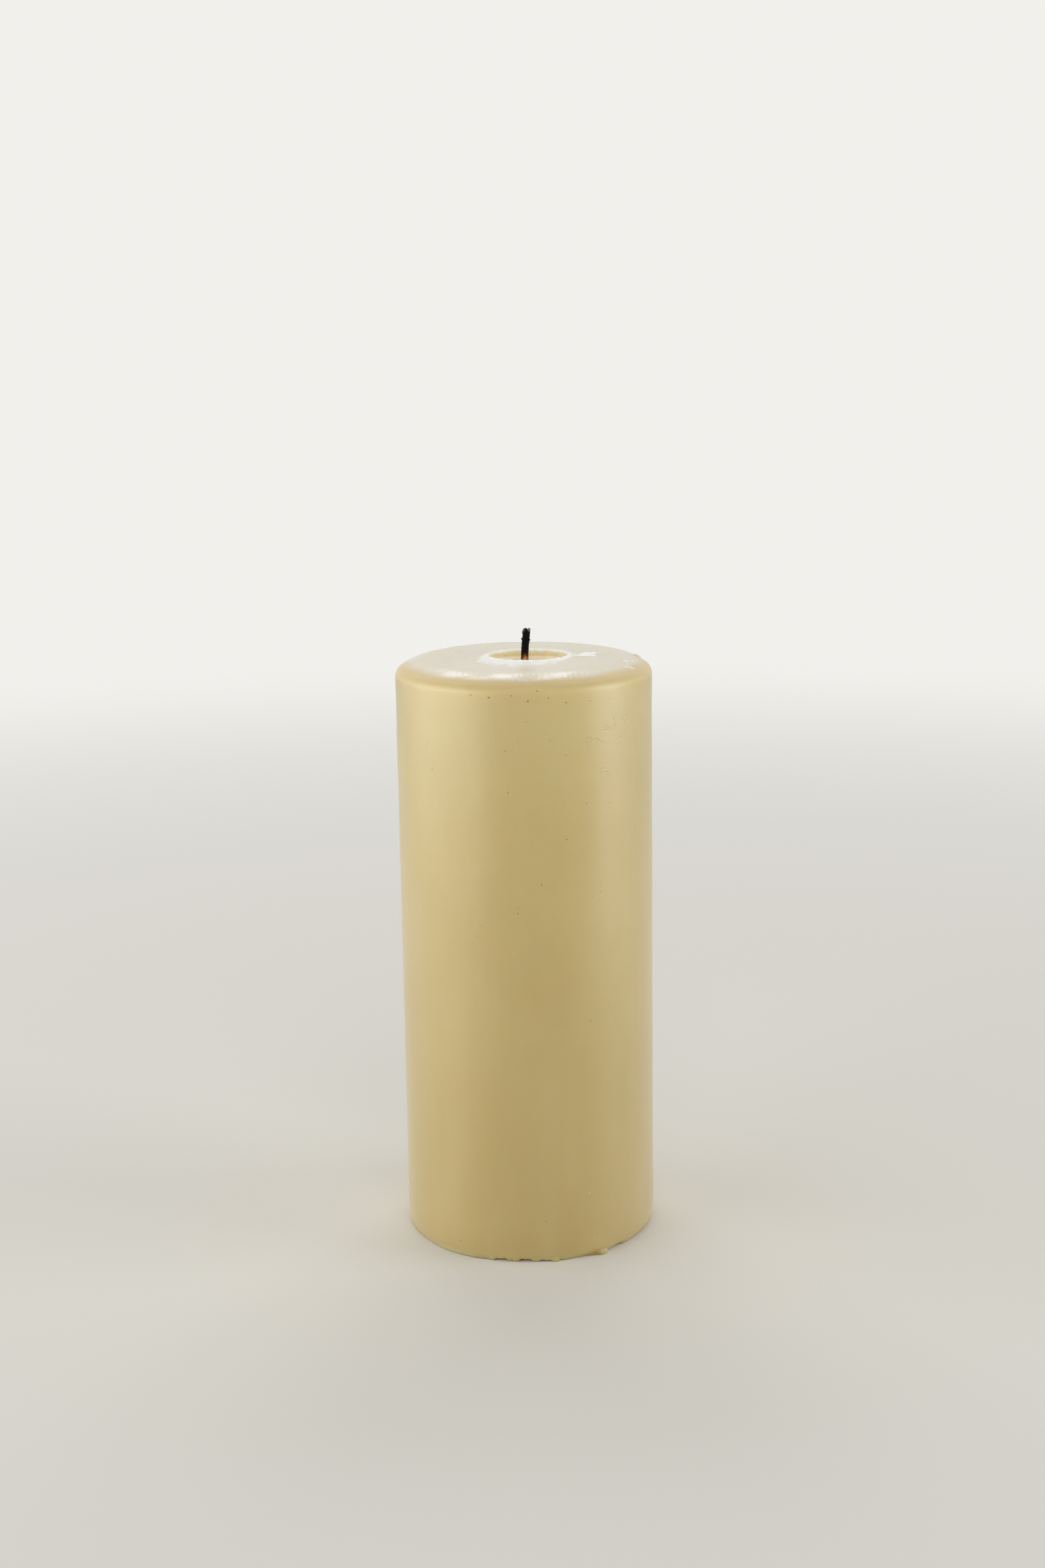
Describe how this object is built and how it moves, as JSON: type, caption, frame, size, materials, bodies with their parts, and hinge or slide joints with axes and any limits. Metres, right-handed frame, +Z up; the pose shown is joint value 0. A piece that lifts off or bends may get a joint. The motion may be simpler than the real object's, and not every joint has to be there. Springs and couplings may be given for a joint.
{
  "type": "melted candle",
  "caption": "Ivory pillar candle with a rounded shoulder, a small melt crater round its charred wick, and a chipped, slightly spread foot on a flat base.",
  "frame": {"origin": "centre of the flat base", "axes": "+Z up along the candle, -Y towards the side with the broken foot"},
  "size_m": [0.06, 0.06, 0.1448],
  "materials": {
    "paraffin_wax": "satin",
    "charred_cotton": "matte"
  },
  "bodies": {
    "root": {"wax_body": "paraffin_wax", "wick": "charred_cotton"}
  },
  "joints": []
}
